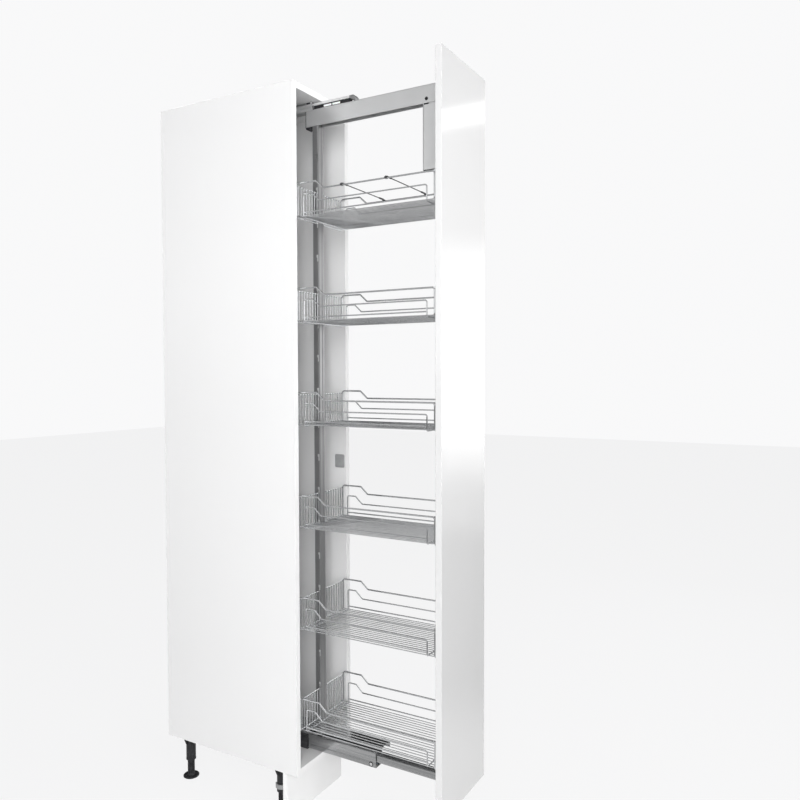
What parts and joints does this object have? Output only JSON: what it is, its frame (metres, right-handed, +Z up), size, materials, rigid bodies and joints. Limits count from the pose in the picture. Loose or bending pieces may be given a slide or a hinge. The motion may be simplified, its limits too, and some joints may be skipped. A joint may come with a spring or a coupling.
{
  "type": "pull-out larder unit",
  "caption": "Narrow tall kitchen cabinet with a full-extension pull-out frame, hook-on wire baskets, floor runner and top guide.",
  "frame": {"origin": "on the floor, in the middle of the outline of the opened unit", "axes": "+Z up, -Y towards the person who pulls the unit out, +X to that person's right"},
  "size_m": [0.3, 1.061, 2.294],
  "materials": {
    "white_gloss": "high-gloss white lacquered board",
    "white_board": "white melamine-faced board",
    "grey_plastic": "moulded",
    "black_plastic": "moulded, fine grain",
    "nylon": "natural nylon",
    "chrome_wire": "bright chrome-plated wire",
    "satin_steel": "satin silver coating",
    "dark_steel": "zinc-plated, dull"
  },
  "bodies": {
    "carcass": {"side_panel_left": "white_board", "side_panel_right": "white_board", "bottom_panel": "white_board", "top_panel": "white_board", "back_panel": "white_board", "plinth_panel": "white_board", "front_left_leg_socket": "black_plastic", "front_left_leg_foot": "black_plastic", "back_left_leg_socket": "black_plastic", "back_left_leg_foot": "black_plastic", "front_right_leg_socket": "black_plastic", "front_right_leg_foot": "black_plastic", "back_right_leg_socket": "black_plastic", "back_right_leg_foot": "black_plastic", "plinth_clip_left": "grey_plastic", "plinth_clip_right": "grey_plastic", "side_wall_cover_cap": "grey_plastic", "floor_rail_fixed": "dark_steel", "end_stop_buffer": "black_plastic", "top_guide_fixed": "satin_steel", "top_guide_front_bush": "black_plastic"},
    "pull_out_frame": {"floor_rail_inner": "satin_steel", "inner_rail_pin": "dark_steel", "rear_upright": "satin_steel", "rear_upright_foot": "dark_steel", "rear_upright_splice": "dark_steel", "front_upright": "satin_steel", "top_rail": "satin_steel", "top_rail_end_cap": "black_plastic", "front_corner_bracket": "satin_steel", "top_rail_screw": "dark_steel", "guide_carriage": "black_plastic", "front_panel_strap_1": "satin_steel", "front_panel_strap_2": "satin_steel", "front_panel_strap_3": "satin_steel", "front_panel": "white_gloss"},
    "floor_middle_rail": {"floor_rail_middle": "satin_steel", "middle_rail_front_pin": "dark_steel", "middle_rail_back_pin": "dark_steel"},
    "top_middle_guide": {"top_guide_middle": "satin_steel", "top_guide_riding_bush": "black_plastic", "top_guide_end_cap": "dark_steel"},
    "middle_front_wheel": {"middle_rail_front_wheel": "nylon"},
    "middle_back_wheel": {"middle_rail_back_wheel": "nylon"},
    "inner_wheel": {"inner_rail_wheel": "nylon"},
    "roller_back": {"guide_roller_back": "nylon"},
    "roller_front": {"guide_roller_front": "nylon"},
    "basket_1": {"basket_1": "chrome_wire"},
    "basket_2": {"basket_2": "chrome_wire"},
    "basket_3": {"basket_3": "chrome_wire"},
    "basket_4": {"basket_4": "chrome_wire"},
    "basket_5": {"basket_5": "chrome_wire"},
    "basket_6": {"basket_6": "chrome_wire"},
    "divider_1": {"basket_divider_1": "black_plastic"},
    "divider_2": {"basket_divider_2": "black_plastic"}
  },
  "joints": [
    {"name": "pull_out", "type": "slide", "parent": "carcass", "child": "pull_out_frame", "axis": [0, -1, 0], "range_m": [-0.48, 0]},
    {"name": "floor_middle_rail_slide", "type": "slide", "parent": "carcass", "child": "floor_middle_rail", "axis": [0, -1, 0], "range_m": [-0.24, 0]},
    {"name": "top_middle_guide_slide", "type": "slide", "parent": "carcass", "child": "top_middle_guide", "axis": [0, -1, 0], "range_m": [-0.24, 0]},
    {"name": "middle_front_wheel_spin", "type": "hinge", "parent": "floor_middle_rail", "child": "middle_front_wheel", "pos_m": [0, -0.2195, 0.182], "axis": [1, 0, 0], "continuous": true},
    {"name": "middle_back_wheel_spin", "type": "hinge", "parent": "floor_middle_rail", "child": "middle_back_wheel", "pos_m": [0, 0.2505, 0.1866], "axis": [1, 0, 0], "continuous": true},
    {"name": "inner_wheel_spin", "type": "hinge", "parent": "pull_out_frame", "child": "inner_wheel", "pos_m": [0, -0.0275, 0.1912], "axis": [1, 0, 0], "continuous": true},
    {"name": "guide_roller_back_spin", "type": "hinge", "parent": "pull_out_frame", "child": "roller_back", "pos_m": [0, -0.0215, 2.261], "axis": [0, 0, 1], "continuous": true},
    {"name": "guide_roller_front_spin", "type": "hinge", "parent": "pull_out_frame", "child": "roller_front", "pos_m": [0, -0.1275, 2.261], "axis": [0, 0, 1], "continuous": true},
    {"name": "basket_1_lift", "type": "slide", "parent": "pull_out_frame", "child": "basket_1", "axis": [0, 0, 1], "range_m": [0, 0.012]},
    {"name": "basket_2_lift", "type": "slide", "parent": "pull_out_frame", "child": "basket_2", "axis": [0, 0, 1], "range_m": [0, 0.012]},
    {"name": "basket_3_lift", "type": "slide", "parent": "pull_out_frame", "child": "basket_3", "axis": [0, 0, 1], "range_m": [0, 0.012]},
    {"name": "basket_4_lift", "type": "slide", "parent": "pull_out_frame", "child": "basket_4", "axis": [0, 0, 1], "range_m": [0, 0.012]},
    {"name": "basket_5_lift", "type": "slide", "parent": "pull_out_frame", "child": "basket_5", "axis": [0, 0, 1], "range_m": [0, 0.012]},
    {"name": "basket_6_lift", "type": "slide", "parent": "pull_out_frame", "child": "basket_6", "axis": [0, 0, 1], "range_m": [0, 0.012]},
    {"name": "divider_1_slide", "type": "slide", "parent": "basket_1", "child": "divider_1", "axis": [0, 1, 0], "range_m": [-0.055, 0.035]},
    {"name": "divider_2_slide", "type": "slide", "parent": "basket_1", "child": "divider_2", "axis": [0, 1, 0], "range_m": [-0.055, 0.055]}
  ],
  "couplings": [
    {"joint": "floor_middle_rail_slide", "follows": "pull_out", "ratio": 0.5},
    {"joint": "top_middle_guide_slide", "follows": "pull_out", "ratio": 0.5},
    {"joint": "middle_front_wheel_spin", "follows": "pull_out", "rad_per_m": 69.444},
    {"joint": "middle_back_wheel_spin", "follows": "pull_out", "rad_per_m": 33.333},
    {"joint": "inner_wheel_spin", "follows": "pull_out", "rad_per_m": 29.412},
    {"joint": "guide_roller_back_spin", "follows": "pull_out", "rad_per_m": 51.02},
    {"joint": "guide_roller_front_spin", "follows": "pull_out", "rad_per_m": -51.02}
  ]
}
